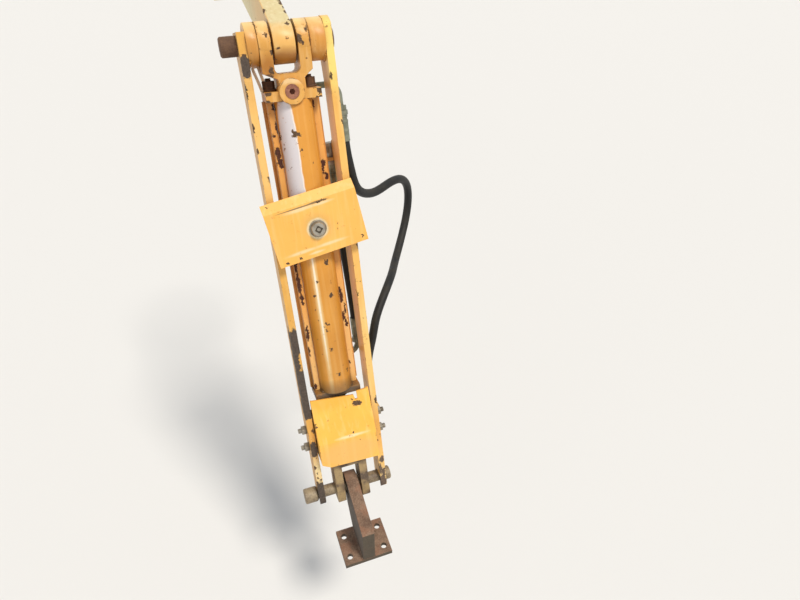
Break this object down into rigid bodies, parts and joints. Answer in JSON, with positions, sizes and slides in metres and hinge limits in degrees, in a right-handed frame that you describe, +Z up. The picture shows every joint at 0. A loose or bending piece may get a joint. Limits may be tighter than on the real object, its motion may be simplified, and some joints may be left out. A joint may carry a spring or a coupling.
{
  "type": "screed lift cylinder assembly of an asphalt paver",
  "caption": "Hydraulic lift cylinder in a frame of two side plates, hung from a flanged arm and pinned to a lug with a bolted foot.",
  "frame": {"origin": "centre of the hanger flange's mounting face, amid its four bolt holes", "axes": "+Y out of the flange towards the machine, +Z up, +X along the top pin to the right seen from behind the machine"},
  "size_m": [0.5325, 1.118, 1.5658],
  "materials": {
    "yellow_paint": "worn gloss enamel",
    "worn_paint": "worn enamel over rust",
    "rusty_steel": "rusted",
    "worn_steel": "dull, dirty",
    "dark_steel": "oiled",
    "zinc_steel": "zinc plated",
    "fitting_steel": "grey-green, dull",
    "hose_rubber": "dusty black rubber",
    "chrome_rod": "hard chrome"
  },
  "bodies": {
    "hanger": {"hanger_arm": "yellow_paint", "hanger_flange": "yellow_paint", "hanger_gussets": "yellow_paint"},
    "link": {"top_pin": "rusty_steel", "cylinder_head": "yellow_paint", "port_plug": "rusty_steel", "head_bolts": "rusty_steel", "barrel": "yellow_paint", "tie_bars": "yellow_paint", "gland": "dark_steel", "gland_flange": "yellow_paint", "side_plate_left": "yellow_paint", "side_plate_right": "yellow_paint", "boss_left": "yellow_paint", "boss_right": "yellow_paint", "cover_plate": "yellow_paint", "cover_ribs": "yellow_paint", "cover_bridge": "yellow_paint", "cover_bolt": "zinc_steel", "rod_guard": "yellow_paint", "guard_bolts": "zinc_steel", "top_elbow": "fitting_steel", "loop_ferrules": "fitting_steel", "loop_hose": "hose_rubber", "port_elbow": "fitting_steel", "line_ferrules": "fitting_steel", "line_hose": "hose_rubber", "union_shelves": "yellow_paint", "bulkhead_unions": "zinc_steel"},
    "rod": {"rod": "chrome_rod", "clevis": "worn_paint", "lower_pin": "worn_steel"},
    "lug": {"screed_lug": "rusty_steel", "lug_foot": "rusty_steel"}
  },
  "joints": [
    {"name": "link_swing", "type": "hinge", "parent": "hanger", "child": "link", "pos_m": [0, -0.56, -0.075], "axis": [1, 0, 0], "range_deg": [-15, 20]},
    {"name": "rod_slide", "type": "slide", "parent": "link", "child": "rod", "axis": [0, -0.2924, -0.9563], "range_m": [0, 0.45]},
    {"name": "lug_pivot", "type": "hinge", "parent": "rod", "child": "lug", "pos_m": [0, -0.93599, -1.30481], "axis": [1, 0, 0], "range_deg": [-30, 25]}
  ]
}
